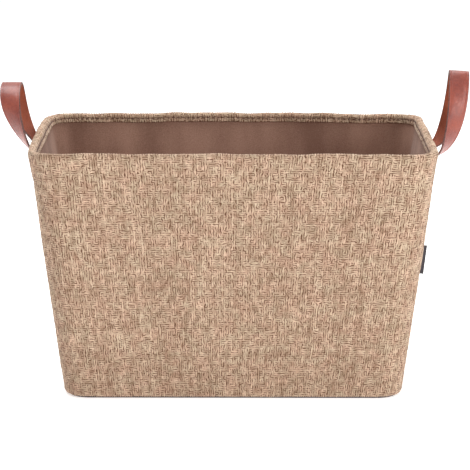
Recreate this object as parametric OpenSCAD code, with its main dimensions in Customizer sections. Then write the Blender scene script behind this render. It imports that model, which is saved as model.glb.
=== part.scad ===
// Fabric storage bin: a tapered tub of paperboard walls between a coarse woven
// outer fabric and a plain lining, with a loose floor insert and two riveted
// leather handles. Origin at the middle of the underside, +Z up, millimetres.

/* [Bin] */
// Height of the bin to the top of the rim
bin_h = 270; // [200:1:360]
// Outside width at the rim
top_w = 430; // [340:1:520]
// Outside depth at the rim
top_d = 300; // [240:1:380]
// Outside width at the foot
bottom_w = 362; // [290:1:440]
// Outside depth at the foot
bottom_d = 233; // [190:1:300]
// Corner radius of the plan at the rim
top_corner_r = 30; // [20:1:45]
// Corner radius of the plan at the foot
bottom_corner_r = 27; // [18:1:40]
// Radius of the edge around the foot
foot_edge_r = 5; // [3:0.5:8]

/* [Layers] */
// Thickness of the woven outer fabric
cover_t = 1.8; // [1:0.1:2.5]
// Thickness of the paperboard stiffeners
board_t = 2.8; // [1.5:0.1:4]
// Thickness of the lining fabric
lining_t = 0.8; // [0.5:0.1:1.5]
// Thickness of the base fabric
base_cover_t = 1.4; // [0.8:0.1:2]
// Depth of the outer fabric that is turned over the rim
facing_drop = 10; // [7:0.5:16]
// How far up behind the turned edge the lining is sewn
lining_tuck = 6; // [3:0.5:7]
// Gap between layers that lie on each other
layer_gap = 0.1; // [0.05:0.05:0.3]

/* [Floor insert] */
// Thickness of the insert's board
insert_board_t = 2.5; // [1.5:0.1:4]
// Thickness of the fabric around the insert's board
insert_cover_t = 0.8; // [0.5:0.1:1.5]
// Gap between the insert and the lining all round
insert_gap = 1.5; // [0.8:0.1:4]

/* [Handles] */
// Width of the strap
strap_w = 22; // [16:0.5:28]
// Thickness of the strap
strap_t = 2.2; // [1.6:0.1:3]
// Distance between the middles of a strap's two ends
strap_spread = 72; // [56:1:110]
// How far below the rim a strap's ends reach
strap_end_drop = 40; // [34:1:60]
// How far below the rim the strap leaves the wall
strap_leave_drop = 25; // [22:1:30]
// Radius of the bend where the strap leaves the wall, at its middle
strap_bend_r = 10; // [7:0.5:14]
// Angle by which the strap turns away from the wall there
strap_bend_angle = 60; // [50:1:65]
// Height of the right loop's top above the rim
right_loop_up = 66; // [50:1:90]
// How far the right loop's top stands outside the rim
right_loop_out = 31; // [20:1:40]
// How far the right loop's legs lean out before they rise
right_loop_lean = 33; // [10:1:50]
// Half width of the right loop's crown
right_loop_crown = 14; // [8:1:60]
// Height of the left loop's top above the rim
left_loop_up = 53; // [40:1:90]
// How far the left loop's top stands outside the rim
left_loop_out = 28; // [20:1:40]
// How far the left loop's legs lean out before they rise
left_loop_lean = 16; // [10:1:50]
// Half width of the left loop's crown
left_loop_crown = 44; // [8:1:60]
// Angle by which a loop's top slopes down outward
loop_tilt = 12; // [0:1:20]
// Smallest angle between a folded strap and its own end
strap_fold_gap = 32; // [30:1:45]
// Gap between a strap's loop and its ends
strap_gap = 0.4; // [0.3:0.1:0.8]

/* [Rivets] */
// How far below the rim the rivets sit
rivet_drop = 32; // [28:1:50]
// Diameter of the rivet caps
rivet_cap_d = 9; // [7:0.5:12]
// Height of the domed rivet caps
rivet_cap_h = 1.6; // [1:0.1:2.5]
// Diameter of the rivet posts
rivet_post_d = 3.2; // [2.5:0.1:4]
// Wall of the socket that closes on the post
rivet_socket_wall = 0.6; // [0.4:0.1:1]
// Gap between post and socket
rivet_fit = 0.05; // [0.02:0.01:0.1]
// Gap around the post in the holes of board, fabric and strap
rivet_hole_gap = 0.1; // [0.05:0.05:0.3]

/* [Side tab] */
// Height of the tab along the seam
tab_h = 32; // [20:1:45]
// How far the tab stands out of the seam
tab_out = 14; // [8:1:20]
// Thickness of one layer of the folded tab
tab_t = 0.6; // [0.4:0.1:1]
// Height of the tab's middle above the floor
tab_z = 127; // [60:1:200]

/* [Hidden] */

// Colours
weave_tan = [0.77, 0.67, 0.58];
lining_taupe = [0.53, 0.43, 0.38];
base_grey = [0.22, 0.20, 0.22];
board_brown = [0.62, 0.52, 0.40];
thread_sand = [0.70, 0.60, 0.48];
cognac = [0.60, 0.30, 0.24];
old_brass = [0.62, 0.50, 0.32];
tab_black = [0.12, 0.10, 0.12];

// The plan outline has the same points in each quarter: the middle of a wall, then a corner
corner_steps = 5;
quarter_points = corner_steps + 2;
outline_points = 4 * quarter_points;

// Horizontal distance of each layer's faces from the outside of the cover
board_out = cover_t + layer_gap;
board_in = board_out + board_t;
lining_out = board_in + layer_gap;
lining_in = lining_out + lining_t;
facing_out = lining_in + layer_gap;
rim_width = facing_out + cover_t;
rim_r = rim_width / 2;

// Heights of the layers of the floor
foot_z = base_cover_t + layer_gap;
foot_turn = 8;
base_board_z = foot_z + cover_t + layer_gap;
lining_floor_z = base_board_z + board_t + layer_gap;
wall_board_z = max(lining_floor_z, foot_z + foot_edge_r);
wall_lining_z = lining_floor_z + lining_t + layer_gap;
insert_rest_gap = 0.3;
insert_z = lining_floor_z + lining_t + insert_rest_gap;
insert_inset = lining_in + insert_gap;
insert_h = insert_board_t + 2 * (insert_cover_t + layer_gap);
wall_board_top = bin_h - cover_t - layer_gap;
stitch_drop = 5.5;
stitch_d = 0.6;

// Side walls lean outward by this angle
side_lean = atan((top_w - bottom_w) / 2 / bin_h);
wall_stack = lining_in * cos(side_lean);

// Strap geometry in the plane square to the side wall
strap_mid = layer_gap + strap_t / 2;
loop_gap = strap_t / 2 / tan(strap_fold_gap / 2) + strap_gap;
end_turn = strap_bend_angle - loop_gap / strap_bend_r * 180 / PI;
end_length = (strap_end_drop - strap_leave_drop) / cos(side_lean);
bend_steps = 8;
fold_local = [
  strap_mid + strap_bend_r * (1 - cos(strap_bend_angle)),
  strap_bend_r * sin(strap_bend_angle)
];
leave_z = bin_h - strap_leave_drop;
fold_x = half_w(leave_z) + fold_local.x * cos(side_lean) + fold_local.y * sin(side_lean);
fold_z = leave_z - fold_local.x * sin(side_lean) + fold_local.y * cos(side_lean);
fold_angle = strap_bend_angle + side_lean;
loop_steps = 14;

// Rivet geometry along the side wall's normal
rivet_z = bin_h - rivet_drop;
hole_facets = 48;
socket_d = rivet_post_d + 2 * (rivet_fit + rivet_socket_wall);
socket_depth = board_t * 0.6 + lining_t;
cap_seat = 2 * layer_gap + strap_t;

function mix(a, b, t) = a + (b - a) * t;
function half_w(z) = mix(bottom_w, top_w, z / bin_h) / 2;
function half_d(z) = mix(bottom_d, top_d, z / bin_h) / 2;
function corner_r(z) = mix(bottom_corner_r, top_corner_r, z / bin_h);

// Plan outline at height z, moved in by inset: anticlockwise from the middle of the right wall
function outline(z, inset) =
  let (
    w = half_w(z), d = half_d(z), r = corner_r(z), s = r - inset,
    middles = [[w - inset, 0], [0, d - inset], [inset - w, 0], [0, inset - d]],
    centres = [[w - r, d - r], [r - w, d - r], [r - w, r - d], [w - r, r - d]]
  )
  [
    for (quarter = [0 : 3])
      each concat(
        [middles[quarter]],
        [for (i = [0 : corner_steps])
          let (a = 90 * (quarter + i / corner_steps))
          centres[quarter] + s * [cos(a), sin(a)]]
      )
  ];

// Sweeps a closed [inset, height] profile along the outline from one index to another.
// end_parts are the convex parts of the profile, each a list of its point numbers in order
module band(profile, first, last, closed = false, end_parts = undef) {
  rings = [for (p = profile) outline(p[1], p[0])];
  n = len(profile);
  steps = last - first;
  stations = closed ? steps : steps + 1;
  points = [
    for (i = [0 : stations - 1])
      for (j = [0 : n - 1])
        let (xy = rings[j][(first + i + outline_points) % outline_points])
        [xy.x, xy.y, profile[j][1]]
  ];
  walls = [
    for (i = [0 : steps - 1])
      for (j = [0 : n - 1])
        let (k = (j + 1) % n, a = i * n, b = (i + 1) % stations * n)
        [a + j, a + k, b + k, b + j]
  ];
  parts = is_undef(end_parts) ? [[for (j = [0 : n - 1]) j]] : end_parts;
  caps = closed ? [] : [
    for (part = parts)
      each [
        [for (j = [len(part) - 1 : -1 : 0]) part[j]],
        [for (j = part) (stations - 1) * n + j]
      ]
  ];
  polyhedron(points, concat(walls, caps), convexity = 6);
}

function slab(inset_out, inset_in, low, high) = [
  [inset_out, low], [inset_out, high], [inset_in, high], [inset_in, low]
];

// Flat layer of the floor
module floor_layer(inset, low, thickness) {
  translate([0, 0, low])
    linear_extrude(thickness)
      polygon(outline(low, inset));
}

// Outer fabric in section: turned under the foot, up the wall, over the rim and down inside
function cover_profile() = concat(
  [[foot_edge_r + foot_turn, foot_z]],
  [for (a = [0 : 30 : 90])
    [foot_edge_r * (1 - sin(a)), foot_z + foot_edge_r * (1 - cos(a))]],
  [for (a = [0 : 30 : 60]) [rim_r * (1 - cos(a)), bin_h - rim_r * (1 - sin(a))]],
  [[rim_r * (1 - cos(75)), bin_h], [rim_r * (1 + cos(75)), bin_h]],
  [for (a = [60 : -30 : 0]) [rim_r * (1 + cos(a)), bin_h - rim_r * (1 - sin(a))]],
  [
    [rim_width, bin_h - facing_drop],
    [facing_out, bin_h - facing_drop],
    [facing_out, bin_h - cover_t],
    [cover_t, bin_h - cover_t]
  ],
  [for (a = [90 : -30 : 0]) [
    foot_edge_r - (foot_edge_r - cover_t) * sin(a),
    foot_z + foot_edge_r - (foot_edge_r - cover_t) * cos(a)
  ]],
  [[foot_edge_r + foot_turn, foot_z + cover_t]]
);

// Convex parts of that section: the turned foot, the wall, the rolled rim and the facing
cover_parts = [
  [0, 1, 20, 21], [1, 2, 19, 20], [2, 3, 18, 19], [3, 4, 17, 18], [4, 5, 16, 17],
  [5, 6, 16], [6, 7, 16], [7, 8, 16], [8, 9, 15, 16], [9, 10, 15], [10, 11, 15], [11, 12, 15],
  [12, 13, 14, 15]
];

// Puts children square to a side wall: x outward, z up the wall, origin on the cover
module on_side(side, z) {
  mirror([side < 0 ? 1 : 0, 0, 0])
    translate([half_w(z), 0, z])
      rotate([0, side_lean, 0])
        children();
}

// The same at each end of a strap
module at_strap_ends(side, z) {
  for (end = [-1, 1])
    on_side(side, z)
      translate([0, end * strap_spread / 2, 0])
        children();
}

// Round holes across both side walls where the rivets pass
module rivet_holes(d) {
  for (side = [-1, 1])
    at_strap_ends(side, rivet_z)
      rotate([0, 90, 0])
        cylinder(h = 4 * rim_width, d = d + 2 * rivet_hole_gap, center = true, $fn = hole_facets);
}

module outer_cover(first, last) {
  color(weave_tan)
    difference() {
      band(cover_profile(), first, last, end_parts = cover_parts);
      rivet_holes(rivet_post_d);
    }
}

module outer_cover_back() {
  outer_cover(0, 2 * quarter_points);
}

module outer_cover_front() {
  outer_cover(2 * quarter_points, outline_points);
}

module base_cover() {
  color(base_grey)
    floor_layer(foot_edge_r, 0, base_cover_t);
}

// Flat board of one wall, from corner to corner: 0 right, 1 back, 2 left, 3 front
module wall_board(wall) {
  middle = wall * quarter_points;
  color(board_brown)
    difference() {
      band(slab(board_out, board_in, wall_board_z, wall_board_top), middle - 1, middle + 1);
      rivet_holes(socket_d);
    }
}

module right_board() {
  wall_board(0);
}

module back_board() {
  wall_board(1);
}

module left_board() {
  wall_board(2);
}

module front_board() {
  wall_board(3);
}

module base_board() {
  color(board_brown)
    floor_layer(foot_edge_r + layer_gap, base_board_z, board_t);
}

module lining_wall(first, last) {
  color(lining_taupe)
    difference() {
      band(slab(lining_out, lining_in, wall_lining_z, bin_h - lining_tuck), first, last);
      rivet_holes(socket_d);
    }
}

module lining_back() {
  lining_wall(0, 2 * quarter_points);
}

module lining_front() {
  lining_wall(2 * quarter_points, outline_points);
}

module lining_floor() {
  color(lining_taupe)
    floor_layer(lining_out, lining_floor_z, lining_t);
}

module rim_stitching() {
  low = bin_h - stitch_drop - stitch_d / 2;
  color(thread_sand)
    band(slab(rim_width + layer_gap, rim_width + layer_gap + stitch_d, low, low + stitch_d),
      0, outline_points, closed = true);
}

module insert_board() {
  color(board_brown)
    floor_layer(insert_inset + insert_cover_t + layer_gap, insert_z + insert_cover_t + layer_gap,
      insert_board_t);
}

module insert_cover() {
  color(lining_taupe)
    difference() {
      floor_layer(insert_inset, insert_z, insert_h);
      floor_layer(insert_inset + insert_cover_t, insert_z + insert_cover_t,
        insert_h - 2 * insert_cover_t);
    }
}

// Middle of a loop at station s, from -1 at its front end to 1 at its back end
function loop_point(up, out, lean, crown, s) =
  let (
    t = 1 - abs(s),
    y = sign(s) * strap_spread / 2,
    start = [fold_x, y, fold_z],
    rise = start + lean * [sin(fold_angle), 0, cos(fold_angle)],
    top = [top_w / 2 + out, 0, bin_h + up],
    shoulder = top + [0, sign(s) * crown, 0]
  )
  pow(1 - t, 3) * start + 3 * pow(1 - t, 2) * t * rise + 3 * (1 - t) * t * t * shoulder
    + pow(t, 3) * top;

// Direction across the strap: along the wall at the ends, outward at the top
function loop_across(s) =
  let (turn = 90 * sqrt(1 - pow(s, 2) * (3 - 2 * abs(s))))
  [sin(turn) * cos(loop_tilt), -sign(s) * cos(turn), -sin(turn) * sin(loop_tilt)];

function unit(v) = v / norm(v);

// The strap between its fold lines, as a ribbon that turns a quarter to its top and back
module strap_loop(up, out, lean, crown) {
  last = 2 * loop_steps;
  tiny = 0.001;
  points = [
    for (i = [0 : last])
      let (
        s = i / loop_steps - 1,
        here = loop_point(up, out, lean, crown, s),
        before = loop_point(up, out, lean, crown, max(s - tiny, -1)),
        after = loop_point(up, out, lean, crown, min(s + tiny, 1)),
        along = unit(after - before),
        flat = loop_across(s),
        across = unit(flat - (flat * along) * along),
        face = cross(across, along)
      )
      for (side = [[1, 1], [-1, 1], [-1, -1], [1, -1]])
        here + side.x * across * strap_w / 2 + side.y * face * strap_t / 2
  ];
  walls = [
    for (i = [0 : last - 1])
      for (j = [0 : 3])
        let (k = (j + 1) % 4, a = 4 * i, b = a + 4)
        each [[a + j, a + k, b + k], [a + j, b + k, b + j]]
  ];
  caps = [[3, 2, 1, 0], [for (j = [0 : 3]) 4 * last + j]];
  color(cognac)
    polyhedron(points, concat(walls, caps), convexity = 6);
}

module right_strap_loop() {
  strap_loop(right_loop_up, right_loop_out, right_loop_lean, right_loop_crown);
}

module left_strap_loop() {
  mirror([1, 0, 0])
    strap_loop(left_loop_up, left_loop_out, left_loop_lean, left_loop_crown);
}

// A strap's riveted end in the plane square to the wall, with the bend that leads to its loop
function strap_end_profile() =
  let (
    centre = strap_mid + strap_bend_r,
    inner = strap_bend_r - strap_t / 2,
    outer = strap_bend_r + strap_t / 2
  )
  concat(
    [[layer_gap, -end_length], [layer_gap + strap_t, -end_length]],
    [for (i = [0 : bend_steps])
      let (a = end_turn * i / bend_steps)
      [centre - inner * cos(a), inner * sin(a)]],
    [for (i = [bend_steps : -1 : 0])
      let (a = end_turn * i / bend_steps)
      [centre - outer * cos(a), outer * sin(a)]]
  );

module strap_ends(side) {
  color(cognac)
    difference() {
      at_strap_ends(side, leave_z)
        rotate([90, 0, 0])
          linear_extrude(strap_w, center = true)
            polygon(strap_end_profile());
      rivet_holes(rivet_post_d);
    }
}

module left_strap_ends() {
  strap_ends(-1);
}

module right_strap_ends() {
  strap_ends(1);
}

// Domed cap standing on the plane x = 0, with its edge as thick as a third of its height
module rivet_cap() {
  edge = rivet_cap_h / 3;
  rise = rivet_cap_h - edge;
  dome_r = (pow(rivet_cap_d / 2, 2) + pow(rise, 2)) / (2 * rise);
  rotate([0, 90, 0])
    intersection() {
      cylinder(h = rivet_cap_h, d = rivet_cap_d, $fn = hole_facets);
      translate([0, 0, rivet_cap_h - dome_r])
        sphere(r = dome_r, $fn = hole_facets);
    }
}

// Outside caps with the posts that pass through strap and wall
module rivets(side) {
  color(old_brass)
    at_strap_ends(side, rivet_z) {
      translate([cap_seat, 0, 0])
        rivet_cap();
      translate([layer_gap - wall_stack, 0, 0])
        rotate([0, 90, 0])
          cylinder(h = wall_stack - layer_gap + cap_seat + rivet_cap_h / 3, d = rivet_post_d,
            $fn = hole_facets);
    }
}

module left_rivets() {
  rivets(-1);
}

module right_rivets() {
  rivets(1);
}

// Inside caps with the sockets that close on the posts
module rivet_sockets(side) {
  color(old_brass)
    at_strap_ends(side, rivet_z)
      translate([-wall_stack - layer_gap, 0, 0]) {
        rotate([0, 180, 0])
          rivet_cap();
        rotate([0, 90, 0])
          difference() {
            cylinder(h = socket_depth + layer_gap, d = socket_d, $fn = hole_facets);
            translate([0, 0, layer_gap])
              cylinder(h = socket_depth + 1, d = rivet_post_d + 2 * rivet_fit, $fn = hole_facets);
          }
      }
}

module left_rivet_sockets() {
  rivet_sockets(-1);
}

module right_rivet_sockets() {
  rivet_sockets(1);
}

// Folded woven tab that stands out of the right side seam
module side_tab() {
  half_t = tab_t + layer_gap / 2;
  color(tab_black)
    on_side(1, tab_z)
      translate([layer_gap, 0, -tab_h / 2])
        linear_extrude(tab_h)
          difference() {
            union() {
              translate([0, -half_t])
                square([tab_out - half_t, 2 * half_t]);
              translate([tab_out - half_t, 0])
                circle(r = half_t, $fn = hole_facets);
            }
            translate([-1, -layer_gap / 2])
              square([tab_out - half_t + 1, layer_gap]);
          }
}

outer_cover_front();
outer_cover_back();
base_cover();
front_board();
back_board();
left_board();
right_board();
base_board();
lining_front();
lining_back();
lining_floor();
rim_stitching();
insert_board();
insert_cover();
left_strap_loop();
right_strap_loop();
left_strap_ends();
right_strap_ends();
left_rivets();
right_rivets();
left_rivet_sockets();
right_rivet_sockets();
side_tab();
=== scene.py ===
import math

import bpy
import numpy as np
from mathutils import Matrix, Vector


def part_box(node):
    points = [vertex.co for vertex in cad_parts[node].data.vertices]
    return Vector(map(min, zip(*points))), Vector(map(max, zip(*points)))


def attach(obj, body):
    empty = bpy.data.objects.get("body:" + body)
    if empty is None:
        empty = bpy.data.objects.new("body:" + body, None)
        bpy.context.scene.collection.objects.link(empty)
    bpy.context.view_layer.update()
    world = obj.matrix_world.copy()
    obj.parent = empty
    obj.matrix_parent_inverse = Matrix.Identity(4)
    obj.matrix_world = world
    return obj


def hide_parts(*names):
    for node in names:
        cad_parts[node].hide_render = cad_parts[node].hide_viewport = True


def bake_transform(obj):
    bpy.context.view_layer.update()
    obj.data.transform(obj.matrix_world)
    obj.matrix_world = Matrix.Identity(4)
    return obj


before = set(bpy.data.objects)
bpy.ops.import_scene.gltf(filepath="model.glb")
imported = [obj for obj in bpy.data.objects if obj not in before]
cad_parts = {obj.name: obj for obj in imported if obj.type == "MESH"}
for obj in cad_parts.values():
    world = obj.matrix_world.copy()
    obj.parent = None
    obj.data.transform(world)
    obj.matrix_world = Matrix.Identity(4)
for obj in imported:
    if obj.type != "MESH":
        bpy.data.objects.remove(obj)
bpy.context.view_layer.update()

# ---------------------------------------------------------------- sizes, in metres, from the frame
BACK_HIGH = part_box("outer_cover_back")[1]
BASE_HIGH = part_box("base_cover")[1]
FLOOR_LOW, FLOOR_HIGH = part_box("lining_floor")
LINING_LOW, LINING_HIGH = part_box("lining_back")
INSERT_LOW, INSERT_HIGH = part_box("insert_cover")
BOARD_LOW, BOARD_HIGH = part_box("back_board")
TAB_LOW, TAB_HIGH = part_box("side_tab")

RIM_Z = BACK_HIGH.z
RIM_HALF_W = BACK_HIGH.x
RIM_HALF_D = BACK_HIGH.y
RIM_CORNER = 0.030
FOOT_CORNER = 0.027
FOOT_RADIUS = 0.005
FOOT_HALF_W = BASE_HIGH.x + FOOT_RADIUS
FOOT_HALF_D = BASE_HIGH.y + FOOT_RADIUS
GAP = 0.0001                   # between layers that lie on each other
FOOT_Z = BASE_HIGH.z + GAP
SIDE_LEAN = math.atan((RIM_HALF_W - FOOT_HALF_W) / RIM_Z)

COVER = 0.0018                 # thickness of the woven fabric
BOARD = 0.0028                 # thickness of the paperboard
LINING = 0.0008                # thickness of the lining
BOARD_OUT = COVER + GAP
BOARD_IN = BOARD_OUT + BOARD
LINING_OUT = BOARD_IN + GAP
LINING_IN = LINING_OUT + LINING
RIM_WIDTH = LINING_IN + GAP + COVER
FACING_DROP = 0.010            # how far the cover reaches down inside the rim
STITCH_DROP = 0.0055           # how far below the rim the lining is sewn to it
INSERT_GAP = 0.0015

BACK_BOW = 0.011               # how far the back wall bulges at the rim
SIDE_BOW = 0.002               # how far the cover bulges at half height on the side walls
LEFT_FLARE = 0.0032            # how far the handles have pulled each side's rim outward
RIGHT_FLARE = 0.0018
FLARE_OUTSIDE = 0.035          # how far below the rim that pull reaches, on the outside of the wall
FLARE_INSIDE = 0.012           # and on its inside
BOW_MARGIN = 0.012             # a bulge ends this far inside the ends of its wall
BOW_GROWTH = 1.6               # how fast the back wall's bulge grows toward the rim
WALL_SHARE = 0.9               # share of the half size from which a point is wholly on its wall
CORNER_MIN = 0.0005            # smallest corner radius of an inner layer
RIM_WAVE = 0.0004              # size of the waves along the hand-turned rim

STRAP_W = 0.022
STRAP_T = 0.0022
STRAP_SPREAD = 0.072
STRAP_END_DROP = 0.040
STRAP_LEAVE_DROP = 0.022
LOOPS = {                      # each loop's shape: lengths in metres, angles in degrees
    "right": {"up": 0.068, "out": 0.031, "lean": 0.034, "lean_angle": 76, "crown": 0.014, "tilt": 4},
    "left": {"up": 0.054, "out": 0.0272, "lean": 0.052, "lean_angle": 38, "crown": 0.043, "tilt": 0},
}

CAMERA_PLACE = (0, -2.775, 0.695)
CAMERA_AIM = (0, 0, 0.130)
CAMERA_SHIFT = (0.0019, 0.0257, 0)
CAMERA_LENS = 196.3
CAMERA_ROLL = 0.1              # in degrees
WORLD_STRENGTH = 0.45
LIGHTS = {                     # each light's place and diameter in metres, and its power in watts
    "key": ((2.15, -1.7, 0.80), 1.5, 37),
    "fill": ((-1.0, -2.6, 1.3), 1.6, 9),
    "top": ((-0.15, 0.6, 2.2), 2.2, 62),
}


# ---------------------------------------------------------------- the bin's plan outline
def smooth(t):
    t = np.clip(t, 0, 1)
    return t * t * (3 - 2 * t)


STRAIGHT_W = 2 * (RIM_HALF_W - RIM_CORNER)
STRAIGHT_D = 2 * (RIM_HALF_D - RIM_CORNER)
ARC = RIM_CORNER * math.pi / 2
SPANS = np.array([STRAIGHT_D / 2, ARC, STRAIGHT_W, ARC, STRAIGHT_D,
                  ARC, STRAIGHT_W, ARC, STRAIGHT_D / 2])
MARKS = np.concatenate([[0], np.cumsum(SPANS)])
ROUND = float(MARKS[-1])       # length of the rim's outline, which starts at the middle of the right wall
HALVES = {"back": (0, ROUND / 2), "front": (ROUND / 2, ROUND)}
BACK_WALL = (MARKS[2], MARKS[3])

YARNS = 504                    # vertical yarns round the bin
YARN = ROUND / YARNS
FLOAT = 0.0036                 # height of one weave cell


def outline(s, z, inset, side_bow=0.0, flare=0.0):
    """Points of the plan outline at distance s round the rim, at height z, moved in by inset, and normals.
    side_bow is the side walls' bulge at half height, and flare the share of their rim's outward pull."""
    s = np.clip(np.asarray(s, float), 0, ROUND)
    s, z, inset = np.broadcast_arrays(s, np.asarray(z, float), np.asarray(inset, float))
    height = np.clip(z / RIM_Z, 0, 1)
    half_w = FOOT_HALF_W + (RIM_HALF_W - FOOT_HALF_W) * height
    half_d = FOOT_HALF_D + (RIM_HALF_D - FOOT_HALF_D) * height
    corner = FOOT_CORNER + (RIM_CORNER - FOOT_CORNER) * height
    tight = np.maximum(corner - inset, CORNER_MIN)
    w, d = half_w - inset - tight, half_d - inset - tight
    span = np.clip(np.searchsorted(MARKS, s, side="right") - 1, 0, 8)
    t = (s - MARKS[span]) / SPANS[span]
    turned = np.where(span % 2 == 1, (span - 1) / 2 + t, span // 2)
    nx, ny = np.cos(turned * np.pi / 2), np.sin(turned * np.pi / 2)
    x = np.select([span <= 1, span == 2, span <= 5, span == 6],
                  [w, w * (1 - 2 * t), -w, w * (2 * t - 1)], w)
    y = np.select([span == 0, span <= 3, span == 4, span <= 7],
                  [d * t, d, d * (1 - 2 * t), -d], d * (t - 1))
    x, y = x + tight * nx, y + tight * ny
    across = np.clip(1 - (x / (half_w - BOW_MARGIN)) ** 2, 0, 1)
    y = y + BACK_BOW * across ** 2 * height ** BOW_GROWTH * np.clip(y / (WALL_SHARE * half_d), 0, 1)
    along = np.clip(1 - (y / (half_d - BOW_MARGIN)) ** 2, 0, 1)
    side = np.clip(x / (WALL_SHARE * half_w), -1, 1)
    pulled = np.where(x > 0, RIGHT_FLARE, LEFT_FLARE) * (1 - np.clip(np.abs(y) / half_d, 0, 1) ** 3)
    x = x + side * (side_bow * np.sin(np.pi * height) ** 2 * along + flare * pulled)
    return x, y, nx, ny


def soft_noise(seed, shape, cells):
    """Smooth random values from -1 to 1 on a grid, with that many cells down and across.
    Each row starts and ends with the same value."""
    rng = np.random.default_rng(seed)
    knots = rng.uniform(-1, 1, (cells[0] + 1, cells[1] + 1))
    knots[:, -1] = knots[:, 0]
    r, c = np.linspace(0, cells[0], shape[0]), np.linspace(0, cells[1], shape[1])
    r0, c0 = np.minimum(r.astype(int), cells[0] - 1), np.minimum(c.astype(int), cells[1] - 1)
    fr, fc = smooth(r - r0)[:, None], smooth(c - c0)[None, :]
    upper = knots[r0][:, c0] * (1 - fc) + knots[r0][:, c0 + 1] * fc
    lower = knots[r0 + 1][:, c0] * (1 - fc) + knots[r0 + 1][:, c0 + 1] * fc
    return upper * (1 - fr) + lower * fr


def rim_wave(s):
    """How far the hand-turned rim rises and falls along its length."""
    turns = 2 * np.pi * s / ROUND
    return RIM_WAVE * (np.sin(11 * turns + 1) + 0.7 * np.sin(23 * turns + 2) + 0.5 * np.sin(41 * turns))


# ---------------------------------------------------------------- meshes
def make_object(name, points, faces, uvs=None):
    mesh = bpy.data.meshes.new(name)
    mesh.from_pydata(np.asarray(points, float).reshape(-1, 3).tolist(), [], faces)
    mesh.update()
    mesh.polygons.foreach_set("use_smooth", [True] * len(mesh.polygons))
    if uvs is not None:
        layer = mesh.uv_layers.new(name="UVMap")
        index = np.zeros(len(mesh.loops), int)
        mesh.loops.foreach_get("vertex_index", index)
        layer.data.foreach_set("uv", np.asarray(uvs, float).reshape(-1, 2)[index].ravel())
    piece = bpy.data.objects.new(name, mesh)
    bpy.context.scene.collection.objects.link(piece)
    return piece


def grid_faces(rows, cols, wrap=False, flip=False):
    """Quads of a grid of points kept row after row. wrap joins the end of each row to its start."""
    r = np.arange(rows - 1)[:, None]
    c = np.arange(cols if wrap else cols - 1)[None, :]
    n = (c + 1) % cols
    low, high = r * cols, (r + 1) * cols
    quads = np.stack([low + c, low + n, high + n, high + c], -1).reshape(-1, 4)
    return (quads[:, ::-1] if flip else quads).tolist()


def set_attribute(piece, name, values):
    attribute = piece.data.attributes.new(name, "FLOAT", "POINT")
    attribute.data.foreach_set("value", np.asarray(values, np.float32).ravel())


def lengths(points):
    """Distance along a line of points, at each of them."""
    steps = np.linalg.norm(np.diff(points, axis=0), axis=1)
    return np.concatenate([[0], np.cumsum(steps)])


def plate(name, profile, columns=240, ripple=0.0, seed=1):
    """A flat round-cornered piece: the closed outline at each (inset, z) of the profile, capped at both
    ends. Its ripple starts at the edge and is full from 20 mm in."""
    calm_edge = 0.02
    inset, z = (np.array(v)[:, None] for v in zip(*profile))
    s = np.arange(columns)[None, :] / columns * ROUND
    x, y, _, _ = outline(s, np.full_like(inset, np.mean(z)), inset)
    bumps = ripple * (np.sin(31 * x + seed) * np.sin(37 * y + 2 * seed) + 0.5 * np.sin(67 * x - 53 * y))
    inner = smooth((inset - inset.min()) / calm_edge)
    z = z + bumps * inner
    uvs = np.stack([x, y], -1)
    faces = grid_faces(*x.shape, wrap=True)
    rows = len(profile)
    faces.append(list(range(columns))[::-1])
    faces.append(list(range((rows - 1) * columns, rows * columns)))
    return make_object(name, np.stack([x, y, z], -1), faces, uvs)


# ---------------------------------------------------------------- node materials
def linear(red, green, blue):
    """A colour given from 0 to 255 as the eye sees it, as linear values for a shader."""
    shares = [v / 255 for v in (red, green, blue)]
    return tuple(((v + 0.055) / 1.055) ** 2.4 if v > 0.04 else v / 12.92 for v in shares) + (1,)


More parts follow.
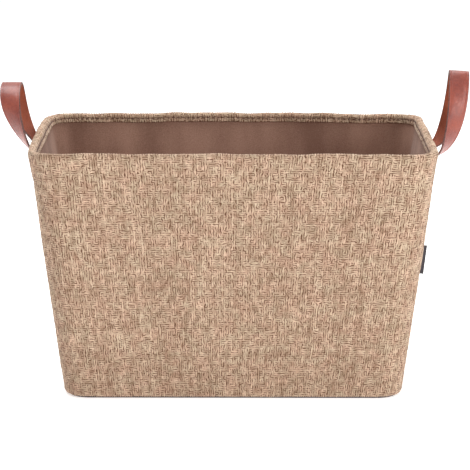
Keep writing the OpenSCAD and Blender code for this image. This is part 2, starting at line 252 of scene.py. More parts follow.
class Shader:
    """A material with short calls for the nodes that it is made of."""

    def __init__(self, name):
        self.material = bpy.data.materials.new(name)
        self.material.use_nodes = True
        self.tree = self.material.node_tree
        self.surface = self.tree.nodes["Principled BSDF"]

    def node(self, kind, **settings):
        made = self.tree.nodes.new(kind)
        for key, value in settings.items():
            setattr(made, key, value)
        return made

    def feed(self, socket, value):
        if isinstance(value, bpy.types.NodeSocket):
            self.tree.links.new(value, socket)
        elif value is not None:
            socket.default_value = value

    def math(self, operation, a, b=None, c=None, clamp=False):
        made = self.node("ShaderNodeMath", operation=operation, use_clamp=clamp)
        for socket, value in zip(made.inputs, (a, b, c)):
            self.feed(socket, value)
        return made.outputs[0]

    def mix(self, factor, a, b, blend="MIX"):
        made = self.node("ShaderNodeMix", data_type="RGBA", blend_type=blend)
        for index, value in ((0, factor), (6, a), (7, b)):
            self.feed(made.inputs[index], value)
        return made.outputs[2]

    def mix_value(self, factor, a, b):
        made = self.node("ShaderNodeMix", data_type="FLOAT")
        for index, value in ((0, factor), (2, a), (3, b)):
            self.feed(made.inputs[index], value)
        return made.outputs[0]

    def fit(self, value, low, high, to_low=0.0, to_high=1.0, smoothly=False):
        kind = "SMOOTHSTEP" if smoothly else "LINEAR"
        made = self.node("ShaderNodeMapRange", interpolation_type=kind, clamp=True)
        for socket, number in zip(made.inputs, (value, low, high, to_low, to_high)):
            self.feed(socket, number)
        return made.outputs[0]

    def place(self):
        return self.node("ShaderNodeTexCoord").outputs["Object"]

    def uv(self):
        return self.node("ShaderNodeTexCoord").outputs["UV"]

    def stretch(self, vector, scale):
        made = self.node("ShaderNodeMapping")
        self.feed(made.inputs["Vector"], vector)
        made.inputs["Scale"].default_value = scale
        return made.outputs[0]

    def split(self, vector):
        made = self.node("ShaderNodeSeparateXYZ")
        self.feed(made.inputs[0], vector)
        return made.outputs[0], made.outputs[1], made.outputs[2]

    def noise(self, vector, scale, detail=2.0, roughness=0.5):
        made = self.node("ShaderNodeTexNoise")
        self.feed(made.inputs["Vector"], vector)
        made.inputs["Scale"].default_value = scale
        made.inputs["Detail"].default_value = detail
        made.inputs["Roughness"].default_value = roughness
        return made.outputs["Fac"]

    def cells(self, vector, scale, feature="DISTANCE_TO_EDGE"):
        made = self.node("ShaderNodeTexVoronoi", feature=feature)
        self.feed(made.inputs["Vector"], vector)
        made.inputs["Scale"].default_value = scale
        return made.outputs["Distance"]

    def attribute(self, name):
        return self.node("ShaderNodeAttribute", attribute_name=name).outputs["Fac"]

    def bump(self, height, distance, strength=1.0, before=None):
        made = self.node("ShaderNodeBump")
        self.feed(made.inputs["Height"], height)
        made.inputs["Distance"].default_value = distance
        made.inputs["Strength"].default_value = strength
        self.feed(made.inputs["Normal"], before)
        return made.outputs[0]

    def finish(self, colour, roughness, normal=None, **sockets):
        self.feed(self.surface.inputs["Base Color"], colour)
        self.feed(self.surface.inputs["Roughness"], roughness)
        self.feed(self.surface.inputs["Normal"], normal)
        for key, value in sockets.items():
            self.surface.inputs[key.replace("_", " ")].default_value = value
        return self.material


YARN_DARK, YARN_LIGHT = linear(132, 104, 82), linear(213, 187, 163)
WARMER, COOLER = (1.045, 0.970, 0.955, 1), (0.980, 1.015, 0.985, 1)
# painted shade: the colour toward which the slots between the yarns and the stitch groove are darkened
PAINTED_SLOT_SHADE = linear(96, 62, 42)
LINING_DARK, LINING_LIGHT = linear(124, 91, 76), linear(166, 130, 112)


def edge_distance(shader, value):
    """0 at the middle of each unit of value, and 1 at its ends."""
    inside = shader.math("FRACT", value)
    return shader.math("MULTIPLY", shader.math("ABSOLUTE", shader.math("SUBTRACT", inside, 0.5)), 2.0)


def woven_cover():
    """Coarse flat yarns that pass over and under each other, with painted shade darkening the slots
    between the yarns and the stitch groove.
    """
    m = Shader("woven_cover")
    place = m.place()
    u, v, _ = m.split(m.uv())
    drift = m.math("SUBTRACT", m.noise(place, 260.0, 1.0), 0.5)
    lift = m.math("SUBTRACT", m.noise(place, 190.0, 1.0), 0.5)
    across = m.math("MULTIPLY_ADD", drift, 1.3, m.math("DIVIDE", u, YARN))
    along = m.math("MULTIPLY_ADD", lift, 0.9, m.math("DIVIDE", v, FLOAT))
    over = m.attribute("over")
    upright = m.math("SUBTRACT", 1.0, m.math("POWER", edge_distance(m, across), 2.2))
    from_level = edge_distance(m, m.math("MULTIPLY", along, 1.5))
    level = m.math("SUBTRACT", 1.0, m.math("POWER", from_level, 2.2))
    fibre_up = m.noise(m.stretch(place, (1.0, 1.0, 0.12)), 1500.0, 2.0)
    fibre_level = m.noise(m.stretch(place, (0.12, 0.12, 1.0)), 1500.0, 2.0)
    on_top = m.fit(over, 0.3, 0.7, smoothly=True)
    yarn_shape = m.mix_value(on_top, level, upright)
    fibre = m.mix_value(on_top, fibre_level, fibre_up)
    tone = m.math("ADD", m.math("MULTIPLY", m.attribute("tone"), 0.42), 0.52)
    tone = m.math("ADD", tone, m.math("MULTIPLY", m.math("SUBTRACT", fibre, 0.5), 0.95), clamp=True)
    yarn = m.mix(tone, YARN_DARK, YARN_LIGHT)
    hue = m.fit(m.noise(place, 75.0, 3.0, 0.6), 0.36, 0.64)
    yarn = m.mix(1.0, yarn, m.mix(hue, WARMER, COOLER), "MULTIPLY")
    patchy = m.fit(m.noise(place, 330.0, 2.0), 0.38, 0.62)
    # painted shade: the further the yarn surface falls away between yarns, the darker the colour, more so
    # in some patches
    depth = m.math("MULTIPLY", m.math("SUBTRACT", 1.0, yarn_shape), m.mix_value(patchy, 0.5, 1.5))
    painted_shade = m.fit(depth, 0.22, 0.80)
    # painted shade: the stitch groove below the rim is darkened as well
    painted_shade = m.math("MAXIMUM", painted_shade, m.math("MULTIPLY", m.attribute("groove"), 0.5))
    colour = m.mix(painted_shade, yarn, PAINTED_SLOT_SHADE)
    height = m.math("ADD", m.math("MULTIPLY", yarn_shape, 0.7), m.math("MULTIPLY", fibre, 0.35))
    return m.finish(colour, 0.92, m.bump(height, 0.0007, 0.8), Sheen_Weight=0.15, Specular_IOR_Level=0.25)


def plain_cloth(name, dark, light, thread=0.0006, roughness=0.8, sheen=0.25, streaks=0.7):
    """Fine plain cloth with its threads, painted shade in the holes between them, slow streaks and a soft
    sheen.
    """
    m = Shader(name)
    place = m.place()
    u, v, _ = m.split(m.uv())
    one = edge_distance(m, m.math("DIVIDE", u, thread))
    two = edge_distance(m, m.math("DIVIDE", v, thread))
    weave = m.math("MULTIPLY", one, two)
    slow = m.noise(m.stretch(place, (1.0, 1.0, 0.3)), 15.0, 3.0)
    fine = m.noise(place, 900.0, 2.0)
    tone = m.math("ADD", m.math("MULTIPLY", slow, streaks), m.math("MULTIPLY", fine, 1 - streaks))
    colour = m.mix(m.fit(tone, 0.38, 0.62), dark, light)
    # painted shade: the holes between the threads are darkened toward the dark colour
    colour = m.mix(m.math("MULTIPLY", weave, 0.25), colour, dark)
    height = m.math("ADD", m.math("MULTIPLY", weave, -0.5), m.math("MULTIPLY", fine, 0.5))
    normal = m.bump(height, 0.0002, 0.6)
    return m.finish(colour, roughness, normal, Sheen_Weight=sheen, Specular_IOR_Level=0.3)


def leather(name, dark, light, roughness, grain=0.00018, coat=0.0):
    """Leather with pores, creases and slow changes of tone."""
    m = Shader(name)
    place = m.place()
    pores = m.cells(place, 1500.0)
    creases = m.noise(m.stretch(m.uv(), (0.5, 1.6, 1.0)), 700.0, 3.0)
    slow = m.noise(place, 38.0, 3.0)
    fine = m.noise(place, 420.0, 3.0)
    tone = m.math("ADD", m.math("MULTIPLY", slow, 0.65), m.math("MULTIPLY", fine, 0.35))
    colour = m.mix(m.fit(tone, 0.36, 0.64), dark, light)
    height = m.math("ADD", m.fit(pores, 0.0, 0.12), m.math("MULTIPLY", creases, 0.8))
    rough = m.fit(m.noise(place, 160.0, 2.0), 0.3, 0.7, roughness - 0.06, roughness + 0.08)
    return m.finish(colour, rough, m.bump(height, grain, 0.6), Coat_Weight=coat, Coat_Roughness=0.35)


def paperboard():
    m = Shader("paperboard")
    place = m.place()
    fibres = m.noise(m.stretch(place, (1.0, 0.3, 1.0)), 420.0, 4.0, 0.7)
    colour = m.mix(m.fit(fibres, 0.35, 0.65), linear(150, 124, 94), linear(178, 152, 120))
    return m.finish(colour, 0.9, m.bump(fibres, 0.0002, 0.5))


def brass():
    m = Shader("antique_brass")
    place = m.place()
    worn = m.noise(place, 700.0, 4.0, 0.65)
    colour = m.mix(m.fit(worn, 0.35, 0.65), linear(122, 92, 58), linear(190, 158, 104))
    rough = m.fit(worn, 0.3, 0.7, 0.48, 0.26)
    return m.finish(colour, rough, m.bump(worn, 0.00006, 0.5), Metallic=1.0)


def thread():
    m = Shader("sewing_thread")
    u, v, _ = m.split(m.uv())
    twist = edge_distance(m, m.math("ADD", m.math("DIVIDE", u, 0.0007), v))
    # painted shade: the thread is darker in the grooves between its twists
    colour = m.mix(twist, linear(104, 62, 44), linear(66, 36, 26))
    return m.finish(colour, 0.7, m.bump(m.math("SUBTRACT", 1.0, twist), 0.0001, 0.8), Sheen_Weight=0.2)


def edge_paint():
    m = Shader("edge_paint")
    tone = m.noise(m.place(), 500.0, 3.0)
    colour = m.mix(m.fit(tone, 0.35, 0.65), linear(76, 44, 40), linear(116, 72, 62))
    return m.finish(colour, 0.5, m.bump(tone, 0.0002, 0.5), Coat_Weight=0.2, Coat_Roughness=0.4)


def base_fabric():
    """Dark nonwoven with pressed dots and short fibres."""
    m = Shader("base_fabric")
    place = m.place()
    dots = m.cells(place, 520.0, "F1")
    fibres = m.noise(place, 1300.0, 3.0, 0.7)
    colour = m.mix(m.fit(fibres, 0.35, 0.65), linear(52, 47, 52), linear(92, 86, 92))
    colour = m.mix(m.fit(dots, 0.25, 0.1), colour, linear(44, 40, 45))
    height = m.math("ADD", m.fit(dots, 0.1, 0.35), m.math("MULTIPLY", fibres, 0.5))
    return m.finish(colour, 0.85, m.bump(height, 0.0003, 0.6))


def tab_webbing():
    """Dark satin ribbon with fine ribs across it."""
    m = Shader("tab_webbing")
    _, _, z = m.split(m.place())
    ribs = edge_distance(m, m.math("DIVIDE", z, 0.0009))
    tone = m.noise(m.place(), 800.0, 2.0)
    colour = m.mix(m.fit(tone, 0.3, 0.7), linear(30, 26, 32), linear(58, 48, 56))
    height = m.math("SUBTRACT", 1.0, ribs)
    return m.finish(colour, 0.6, m.bump(height, 0.00025, 0.7), Sheen_Weight=0.3)


WOVEN = woven_cover()
LINING_CLOTH = plain_cloth("lining_cloth", LINING_DARK, LINING_LIGHT, sheen=0.10)
FLOOR_CLOTH = plain_cloth("floor_cloth", LINING_DARK, LINING_LIGHT, sheen=0.10, streaks=0.25)
LEATHER_OUT = leather("leather_grain_side", linear(118, 41, 26), linear(154, 67, 45), 0.38, coat=0.42)
LEATHER_IN = leather("leather_flesh_side", linear(134, 60, 34), linear(166, 84, 54), 0.55, 0.0003)
EDGE_PAINT = edge_paint()
PAPERBOARD = paperboard()
BRASS = brass()
THREAD = thread()
BASE_FABRIC = base_fabric()
TAB = tab_webbing()


# ---------------------------------------------------------------- woven outer cover
def cover_section():
    """The cover in section, as (inset, z): turned under the foot, up, over the rim, down inside and up
    behind."""
    turn, rim_r, hem, turned_up = 0.008, RIM_WIDTH / 2, 0.0009, 0.003
    under = [(FOOT_RADIUS + turn * (1 - t), FOOT_Z) for t in np.arange(0, 1, 0.25)]
    foot = [(FOOT_RADIUS * (1 - math.sin(a)), FOOT_Z + FOOT_RADIUS * (1 - math.cos(a)))
            for a in np.radians(np.arange(0, 90, 18))]
    wall_low, wall_high = FOOT_Z + FOOT_RADIUS, RIM_Z - rim_r
    rows = round((wall_high - wall_low) / (FLOAT / 2))
    wall = [(0.0, z) for z in np.linspace(wall_low, wall_high, rows, endpoint=False)]
    rim = [(rim_r * (1 - math.cos(a)), wall_high + rim_r * math.sin(a))
           for a in np.radians(np.arange(0, 180, 15))]
    hem_z = RIM_Z - FACING_DROP + hem
    inside = [(RIM_WIDTH, z) for z in np.linspace(wall_high, hem_z, 10, endpoint=False)]
    fold = [(RIM_WIDTH - hem * (1 - math.cos(a)), hem_z - hem * math.sin(a))
            for a in np.radians(np.arange(0, 181, 30))]
    behind = [(RIM_WIDTH - 2 * hem, z) for z in np.linspace(hem_z, hem_z + turned_up, 4)[1:]]
    return np.array(under + foot + wall + rim + inside + fold + behind)


def weave_cells(rows, seed=7):
    """Which yarn is on top in each weave cell, 1 for the upright, and each cell's tone, around 0."""
    swapped, stay_upright = 0.26, 0.20
    cell_tone, column_tone, row_tone, slow_tone = 0.72, 0.25, 0.15, 0.1
    rng = np.random.default_rng(seed)
    r, c = np.indices((rows, YARNS))
    over = ((r + c) % 2).astype(float)
    over = np.where(rng.random(over.shape) < swapped, 1 - over, over)
    over = np.where(rng.random(over.shape) < stay_upright, 1, over)
    tone = cell_tone * rng.uniform(-1, 1, over.shape)
    tone += column_tone * rng.uniform(-1, 1, (1, YARNS)) + row_tone * rng.uniform(-1, 1, (rows, 1))
    tone += slow_tone * soft_noise(seed + 1, over.shape, (12, 60))
    return over, tone


def at_cells(table, across, along):
    """Values of a table of cells between the cells' middles, round and round across."""
    c, r = across - 0.5, np.clip(along - 0.5, 0, table.shape[0] - 1.001)
    c0, r0 = np.floor(c).astype(int), np.floor(r).astype(int)
    fc, fr = c - c0, r - r0
    left, right = c0 % table.shape[1], (c0 + 1) % table.shape[1]
    upper = table[r0, left] * (1 - fc) + table[r0, right] * fc
    lower = table[r0 + 1, left] * (1 - fc) + table[r0 + 1, right] * fc
    return upper * (1 - fr) + lower * fr


def outer_cover(half):
    """One half of the outer cover as a dense grid that has the weave's own relief."""
    yarn_relief, tone_relief, slack_relief = 0.00042, 0.00012, 0.00020
    stitch_depth, stitch_width = 0.0006, 0.0008
    seam_depth, seam_width, calm_by_seam = 0.0008, 0.0016, 0.02
    sideways, rising = 0.0006, 0.03
    slack_seed, shift_seed = (21, 31) if half == "back" else (22, 32)
    start, end = HALVES[half]
    section = cover_section()
    run = lengths(section)
    s = np.linspace(start, end, YARNS + 1)
    across = np.broadcast_to(s[None, :] / YARN, (len(run), len(s)))
    along = np.broadcast_to(run[:, None] / FLOAT, across.shape)
    over_cells, tone_cells = weave_cells(int(run[-1] / FLOAT) + 2)
    over, tone = at_cells(over_cells, across, along), at_cells(tone_cells, across, along)
    upright = np.cos(2 * np.pi * (across - 0.5))
    level = np.cos(2 * np.pi * (along - 0.5))
    relief = yarn_relief * (over * upright + (1 - over) * (0.6 * level - 0.2))
    relief += tone_relief * tone
    from_seam = np.minimum(s - start, end - s)[None, :]
    away = smooth(from_seam / calm_by_seam)
    relief += slack_relief * soft_noise(slack_seed, relief.shape, (14, 34)) * away

    groove = np.exp(-((section[:, 1] - (RIM_Z - STITCH_DROP)) / stitch_width) ** 2)
    groove = groove * (section[:, 0] > RIM_WIDTH / 2)
    relief = relief - stitch_depth * groove[:, None]
    on_wall = smooth((section[:, 1] - 0.004) / 0.01)[:, None]
    relief = relief - seam_depth * np.exp(-(from_seam / seam_width) ** 2) * on_wall

    shift = sideways * soft_noise(shift_seed, relief.shape, (24, 60))
    moved = s[None, :] + shift * away
    inset, z = section[:, 0:1], section[:, 1:2]
    flare = np.where(inset < RIM_WIDTH / 2,
                     smooth((z - RIM_Z + FLARE_OUTSIDE) / FLARE_OUTSIDE),
                     smooth((z - RIM_Z + FLARE_INSIDE) / FLARE_INSIDE))
    x, y, nx, ny = outline(moved, z, inset, SIDE_BOW, flare)
    tangent = np.gradient(section, axis=0)
    tangent /= np.linalg.norm(tangent, axis=1, keepdims=True)
    outward, upward = tangent[:, 1:2], tangent[:, 0:1]
    rise = rim_wave(s)[None, :] * smooth((z - RIM_Z + rising) / rising)
    points = np.stack([x + nx * relief * outward, y + ny * relief * outward,
                       z + relief * upward + rise], -1)
    uvs = np.stack([across * YARN, along * FLOAT], -1)
    piece = make_object("outer_cover_" + half + "_cloth", points, grid_faces(*x.shape), uvs)
    set_attribute(piece, "over", over)
    set_attribute(piece, "tone", tone)
    # the groove attribute also paints shade into the cover's colour along the stitch groove
    set_attribute(piece, "groove", np.broadcast_to(groove[:, None], x.shape))
    piece.data.materials.append(WOVEN)
    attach(piece, "bin")
    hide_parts("outer_cover_" + half)


# ---------------------------------------------------------------- rim stitches
def rim_stitches():
    """Short stitches in the groove that joins the lining to the turned edge."""
    pitch, length, radius = 0.0058, 0.0042, 0.0005
    sunk, dip, slant = 0.0010, 0.0011, 0.00025
    rings, sides = 7, 6
    count = round(ROUND / pitch)
    t = np.linspace(-1, 1, rings)
    points, uvs, faces = [], [], []
    turn = np.arange(sides) / sides * 2 * np.pi
    for i in range(count):
        s = (i + 0.5) * ROUND / count + t * length / 2
        depth = RIM_WIDTH - sunk + dip * (1 - t ** 4)
        flare = smooth((FLARE_INSIDE - STITCH_DROP) / FLARE_INSIDE)
        x, y, nx, ny = outline(np.mod(s, ROUND), RIM_Z - STITCH_DROP, depth, flare=flare)
        z = RIM_Z - STITCH_DROP + rim_wave(s) + slant * t * (-1) ** i
        size = radius * np.sqrt(np.clip(1.02 - t ** 2, 0.02, 1))
        ring_x = x[:, None] + nx[:, None] * size[:, None] * np.cos(turn)
        ring_y = y[:, None] + ny[:, None] * size[:, None] * np.cos(turn)
        ring_z = z[:, None] + size[:, None] * np.sin(turn)
        first = len(points) * rings * sides
        points.append(np.stack([ring_x, ring_y, ring_z], -1))
        uvs.append(np.stack(np.broadcast_arrays(s[:, None], turn[None, :] / (2 * np.pi)), -1))
        faces += [[first + v for v in face] for face in grid_faces(rings, sides, wrap=True)]
        faces.append([first + v for v in range(sides)][::-1])
        faces.append([first + (rings - 1) * sides + v for v in range(sides)])
    piece = make_object("rim_stitches", np.concatenate(points), faces, np.concatenate(uvs))
    piece.data.materials.append(THREAD)
    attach(piece, "bin")
    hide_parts("rim_stitching")


# ---------------------------------------------------------------- lining
def lining_wall(half):
    """One half of the lining's wall, with soft folds at its corners and slack cloth between."""
    rows, columns = 61, 221
    fold_depth, slack_depth, crumple_depth = 0.0024, 0.0007, 0.00022
    fold_spread, fold_pitch, fold_slant = 0.030, 0.0052, 0.02
    sewn, held_above, held_below, calm_by_seam = 0.003, 0.035, 0.02, 0.03
    slack_seed, crumple_seed = (41, 43) if half == "back" else (42, 44)
    start, end = HALVES[half]
    s = np.linspace(start, end, columns)[None, :]
    z = np.linspace(LINING_LOW.z, LINING_HIGH.z, rows)[:, None]
    corners = [(MARKS[i] + MARKS[i + 1]) / 2 for i in (1, 3, 5, 7)]
    folds = sum(np.exp(-((s - c) / fold_spread) ** 2)
                * (0.55 + 0.45 * np.cos((s - c + fold_slant * z) / fold_pitch)) for c in corners)
    away = smooth(np.minimum(s - start, end - s) / calm_by_seam)
    slack = soft_noise(slack_seed, (rows, columns), (5, 26)) * away
    crumple = soft_noise(crumple_seed, (rows, columns), (16, 60)) * away
    held = smooth((LINING_HIGH.z - sewn - z) / held_above) * smooth((z - LINING_LOW.z) / held_below)
    inward = held * (fold_depth * folds + slack_depth * (1 + slack) + crumple_depth * (1 + crumple))
    x, y, nx, ny = outline(s, z, LINING_IN)
    points = np.stack([x - nx * inward, y - ny * inward, np.broadcast_to(z, x.shape)], -1)
    uvs = np.stack(np.broadcast_arrays(s, z), -1)
    piece = make_object("lining_" + half + "_cloth", points, grid_faces(*x.shape, flip=True), uvs)
    piece.data.materials.append(LINING_CLOTH)
    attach(piece, "bin")
    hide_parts("lining_" + half)


def flat_profile(inset, low, high, edge):
    """The section of a plate with round edges, from far in on its underside to far in on its top."""
    deep = [0.11, 0.10, 0.085, 0.07, 0.055, 0.04, 0.03, 0.02, 0.014, 0.009, 0.006]
    quarter = np.radians([0, 30, 60, 90])
    edge = min(edge, (high - low) / 2)
    under = [(inset + d, low) for d in deep]
    round_low = [(inset + edge * (1 - math.sin(a)), low + edge * (1 - math.cos(a))) for a in quarter]
    round_high = [(inset + edge * (1 - math.cos(a)), high - edge * (1 - math.sin(a))) for a in quarter]
    above = [(inset + d, high) for d in reversed(deep)]
    middle = [] if high - low > 2 * edge + 1e-6 else [0]
    return under + round_low + round_high[len(middle):] + above


def lining_floor():
    profile = flat_profile(LINING_OUT, FLOOR_LOW.z, FLOOR_HIGH.z, 0.0004)
    piece = plate("lining_floor_cloth", profile, ripple=0.00003)
    piece.data.materials.append(FLOOR_CLOTH)
    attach(piece, "bin")
    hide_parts("lining_floor")


def insert_cover():
    """The fabric round the loose floor board, with its top a little slack."""
    inset = LINING_IN + INSERT_GAP
    profile = flat_profile(inset, INSERT_LOW.z, INSERT_HIGH.z, 0.0019)
    piece = plate("insert_cover_cloth", profile, ripple=0.00018, seed=3)
    piece.data.materials.append(FLOOR_CLOTH)
    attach(piece, "floor_insert")
    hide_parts("insert_cover")


def base_cover():
    profile = flat_profile(FOOT_RADIUS, 0.0, BASE_HIGH.z, 0.0006)
    piece = plate("base_cover_cloth", profile)
    piece.data.materials.append(BASE_FABRIC)
    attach(piece, "bin")
    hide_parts("base_cover")


# ---------------------------------------------------------------- bent back board
def back_board():
    columns, rows = 61, 15
    s = np.linspace(BACK_WALL[0], BACK_WALL[1], columns)[:, None]
    z = np.linspace(BOARD_LOW.z, BOARD_HIGH.z, rows)
    ring_z = np.concatenate([z, z[::-1]])[None, :]
    ring_inset = np.concatenate([np.full(rows, BOARD_OUT), np.full(rows, BOARD_IN)])[None, :]
    x, y, _, _ = outline(s, ring_z, ring_inset)
    ring = x.shape[1]
    faces = grid_faces(*x.shape, wrap=True)
    faces.append(list(range(ring))[::-1])
    faces.append([(columns - 1) * ring + i for i in range(ring)])
    points = np.stack([x, y, np.broadcast_to(ring_z, x.shape)], -1)
    piece = make_object("back_board_bent", points, faces)
    piece.data.polygons.foreach_set("use_smooth", [False] * len(piece.data.polygons))
    piece.data.materials.append(PAPERBOARD)
    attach(piece, "bin")
    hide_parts("back_board")


# ---------------------------------------------------------------- straps
def unit(v):
    return v / np.linalg.norm(v, axis=-1, keepdims=True)


def strap_line(side):
    """Middle line of a right-hand strap from its front end to its top, 1 mm apart, and the direction
    across it. The bend where the strap leaves the wall is softened."""
    step, reach, spread = 0.001, 9, 3.2
    bend_zone, bend_fade = 0.012, 0.006
    loop = LOOPS[side]
    leave_z = RIM_Z - STRAP_LEAVE_DROP
    wall_x = FOOT_HALF_W + (RIM_HALF_W - FOOT_HALF_W) * leave_z / RIM_Z
    start = np.array([wall_x + GAP + STRAP_T / 2, -STRAP_SPREAD / 2, leave_z])
    up_wall = np.array([math.sin(SIDE_LEAN), 0, math.cos(SIDE_LEAN)])
    tail = start - up_wall * (STRAP_END_DROP - STRAP_LEAVE_DROP) * np.linspace(1, 0, 20)[:, None]
    angle = math.radians(loop["lean_angle"])
    rise = start + loop["lean"] * np.array([math.sin(angle), 0, math.cos(angle)])
    top = np.array([RIM_HALF_W + loop["out"], 0, RIM_Z + loop["up"]])
    shoulder = top - np.array([0, loop["crown"], 0])
    t = np.linspace(0, 1, 200)[1:, None]
    rising = (1 - t) ** 3 * start + 3 * (1 - t) ** 2 * t * rise
    rising = rising + 3 * (1 - t) * t * t * shoulder + t ** 3 * top
    rough = np.concatenate([tail, rising])
    share = np.concatenate([np.zeros(len(tail)), t[:, 0]])
    run = lengths(rough)
    even = np.linspace(0, run[-1], round(run[-1] / step) + 1)
    line = np.stack([np.interp(even, run, rough[:, i]) for i in range(3)], -1)
    share = np.interp(even, run, share)
    weights = np.exp(-(np.arange(-reach, reach + 1) / spread) ** 2)
    weights /= weights.sum()
    start_run = STRAP_END_DROP - STRAP_LEAVE_DROP
    for i in (0, 2):
        padded = np.pad(line[:, i], reach, mode="reflect", reflect_type="odd")
        softened = np.convolve(padded, weights, "valid")
        near_bend = 1 - smooth((np.abs(even - start_run) - bend_zone) / bend_fade)
        line[:, i] += (softened - line[:, i]) * near_bend
    tilt = math.radians(loop["tilt"])
    turn = np.pi / 2 * np.sqrt(3 * share ** 2 - 2 * share ** 3)
    across = np.stack([np.sin(turn) * math.cos(tilt), np.cos(turn), -np.sin(turn) * math.sin(tilt)], -1)
    return line, across


def strap_section():
    """The strap's section as (across, out), and the material of each of its sides: 0 is the grain side,
    1 the edge and 2 the flesh side."""
    half, thick, crease = STRAP_W / 2, STRAP_T / 2, 0.0027
    bevel = 0.0007
    top = [(-half + bevel, 0.00004), (-half + crease - 0.0007, 0.0), (-half + crease - 0.0003, -0.00012),
           (-half + crease, -0.0003), (-half + crease + 0.0003, -0.00012), (-half + crease + 0.0007, 0.0)]
    top += [(-half * 0.35, 0.00003), (0.0, 0.00005)]
    top += [(-p, q) for p, q in reversed(top[:-1])]
    top = [(p, thick + q) for p, q in top]
    turn = np.radians([67.5, 45, 22.5, 0, -22.5, -45, -67.5])
    right = [(half - bevel + bevel * math.cos(a), thick * math.sin(a)) for a in turn]
    bottom = [(p, -thick) for p in np.linspace(half - bevel, -half + bevel, 7)]
    left = [(-p, q) for p, q in reversed(right)]
    points = top + right + bottom + left
    kinds = [0] * (len(top) - 1) + [1] * (len(right) + 1) + [2] * (len(bottom) - 1) + [1] * (len(left) + 1)
    return np.array(points), kinds


def strap(side):
    """A whole strap: riveted end, bend, loop, bend and riveted end, in one strip of leather."""
    line, across = strap_line(side)
    back = line[-2::-1] * [1, -1, 1]
    line = np.concatenate([line, back])
    across = np.concatenate([across, across[-2::-1] * [1, -1, 1]])
    along = unit(np.gradient(line, axis=0))
    across = unit(across - (across * along).sum(-1, keepdims=True) * along)
    face = np.cross(across, along)
    section, kinds = strap_section()
    run = lengths(line)
    from_end = np.minimum(run, run[-1] - run)
    corner = 0.0085
    cut = corner - np.sqrt(np.clip(corner ** 2 - np.clip(corner - from_end, 0, corner) ** 2, 0, None))
    width = 1 - cut / (STRAP_W / 2)
    width[[0, -1]] = width[[1, -2]] * 0.9
    p = section[None, :, 0:1] * width[:, None, None]
    q = section[None, :, 1:2]
    points = line[:, None, :] + p * across[:, None, :] + q * face[:, None, :]
    if side == "left":
        points = points * [-1, 1, 1]
    uvs = np.stack(np.broadcast_arrays(run[:, None], section[None, :, 0]), -1)
    rows, ring = len(line), len(section)
    flip = side == "left"
    faces = grid_faces(rows, ring, wrap=True, flip=not flip)
    first, last = list(range(ring)), [(rows - 1) * ring + i for i in range(ring)]
    faces += [first if not flip else first[::-1], last[::-1] if not flip else last]
    piece = make_object(side + "_strap", points, faces, uvs)
    for material in (LEATHER_OUT, EDGE_PAINT, LEATHER_IN):
        piece.data.materials.append(material)
    piece.data.polygons.foreach_set("material_index", kinds * (rows - 1) + [1, 1])
    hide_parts(side + "_strap_loop", side + "_strap_ends")
    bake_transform(piece)


# ---------------------------------------------------------------- side tab
def side_tab():
    """A folded ribbon sewn into the right side seam, a little curled."""
    thick, gap = 0.0006, 0.0004
    reach, sunk, half_height, raised = 0.0135, 0.001, 0.016, 0.004
    wave, waves, curl = 0.0008, 70, 0.0016
    stops = (0.15, 0.35, 0.55, 0.75)
    lean = Matrix.Rotation(SIDE_LEAN, 3, "Y")
    low, high = TAB_LOW.z, TAB_HIGH.z
    fold_r, inner_r = gap / 2 + thick, gap / 2
    turn = np.radians(np.linspace(90, -90, 9))
    outer = [(-sunk, fold_r)] + [(reach * t, fold_r) for t in stops]
    outer += [(reach - fold_r + fold_r * math.cos(a), fold_r * math.sin(a)) for a in turn]
    outer += [(reach * t, -fold_r) for t in reversed(stops)] + [(-sunk, -fold_r)]
    inner = [(-sunk, -inner_r), (reach * 0.4, -inner_r), (reach - fold_r, -inner_r),
             (reach - fold_r + inner_r, 0.0), (reach - fold_r, inner_r), (reach * 0.4, inner_r),
             (-sunk, inner_r)]
    ring = np.array(outer + inner)
    middle = (low + high) / 2 + raised
    heights = np.linspace(-half_height, half_height, 13)
    half_w = FOOT_HALF_W + (RIM_HALF_W - FOOT_HALF_W) * middle / RIM_Z
    seam_x = half_w + SIDE_BOW * 0.9
    points = []
    for h in heights:
        soft = wave * math.sin(h * waves) * (ring[:, 0] / reach) ** 2 + curl * (ring[:, 0] / reach) ** 2
        for (out, side), bend in zip(ring, soft):
            local = lean @ Vector((out, side + bend, h))
            points.append((seam_x + local.x, local.y, middle + local.z))
    rows, count = len(heights), len(ring)
    faces = grid_faces(rows, count, wrap=True)
    faces.append(list(range(count))[::-1])
    faces.append([(rows - 1) * count + i for i in range(count)])
    piece = make_object("side_tab_ribbon", points, faces)
    piece.data.materials.append(TAB)
    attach(piece, "bin")
    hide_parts("side_tab")


def dress_cad_nodes():
    """Materials of the CAD nodes that stay as they are."""
    wear = {"front_board": PAPERBOARD, "left_board": PAPERBOARD, "right_board": PAPERBOARD,
            "base_board": PAPERBOARD, "insert_board": PAPERBOARD, "left_rivets": BRASS,
            "right_rivets": BRASS, "left_rivet_sockets": BRASS, "right_rivet_sockets": BRASS}
    for node, material in wear.items():
        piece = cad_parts[node]
        piece.data.materials.clear()
        piece.data.materials.append(material)


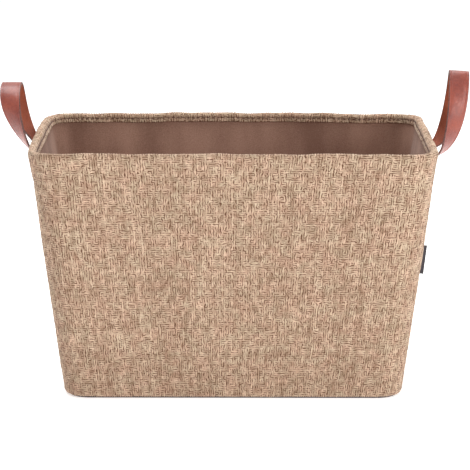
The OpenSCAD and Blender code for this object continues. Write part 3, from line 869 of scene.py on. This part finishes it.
# ---------------------------------------------------------------- studio
def pale_floor():
    m = Shader("studio_floor")
    tone = m.noise(m.place(), 2.0, 2.0)
    colour = m.mix(m.fit(tone, 0.3, 0.7), linear(248, 248, 248), linear(252, 252, 252))
    m.finish(colour, 0.9, Emission_Color=(1, 1, 1, 1), Emission_Strength=0.55, Specular_IOR_Level=0.1)
    size = 30.0
    corners = [(-size, -size, 0), (size, -size, 0), (size, size, 0), (-size, size, 0)]
    piece = make_object("studio_floor", corners, [[0, 1, 2, 3]])
    piece.data.materials.append(m.material)


def area_light(name, place, target, size, power):
    light = bpy.data.lights.new(name, "AREA")
    light.shape = "DISK"
    light.size = size
    light.energy = power
    lamp = bpy.data.objects.new(name, light)
    lamp.location = place
    lamp.rotation_euler = (Vector(target) - Vector(place)).to_track_quat("-Z", "Y").to_euler()
    bpy.context.scene.collection.objects.link(lamp)


def studio():
    world = bpy.data.worlds.new("studio_world")
    world.use_nodes = True
    background = world.node_tree.nodes["Background"]
    background.inputs["Color"].default_value = (1, 1, 1, 1)
    background.inputs["Strength"].default_value = WORLD_STRENGTH
    bpy.context.scene.world = world
    bpy.context.scene.view_settings.view_transform = "Standard"
    for name, (place, size, power) in LIGHTS.items():
        area_light(name, place, (0, 0, RIM_Z / 2), size, power)


def camera():
    """The camera, with its aim moved across and up in its own view."""
    data = bpy.data.cameras.new("camera")
    data.sensor_width = 36.0
    data.lens = CAMERA_LENS
    place = Vector(CAMERA_PLACE)
    aim = Vector(CAMERA_AIM) - place
    turned = aim.to_track_quat("-Z", "Y").to_matrix()
    aim += turned @ Vector(CAMERA_SHIFT)
    turned = aim.to_track_quat("-Z", "Y").to_matrix() @ Matrix.Rotation(math.radians(CAMERA_ROLL), 3, "Z")
    made = bpy.data.objects.new("camera", data)
    made.matrix_world = Matrix.Translation(place) @ turned.to_4x4()
    bpy.context.scene.collection.objects.link(made)
    bpy.context.scene.camera = made


outer_cover("front")
outer_cover("back")
rim_stitches()
lining_wall("front")
lining_wall("back")
lining_floor()
insert_cover()
base_cover()
back_board()
strap("left")
strap("right")
side_tab()
dress_cad_nodes()
pale_floor()
studio()
camera()
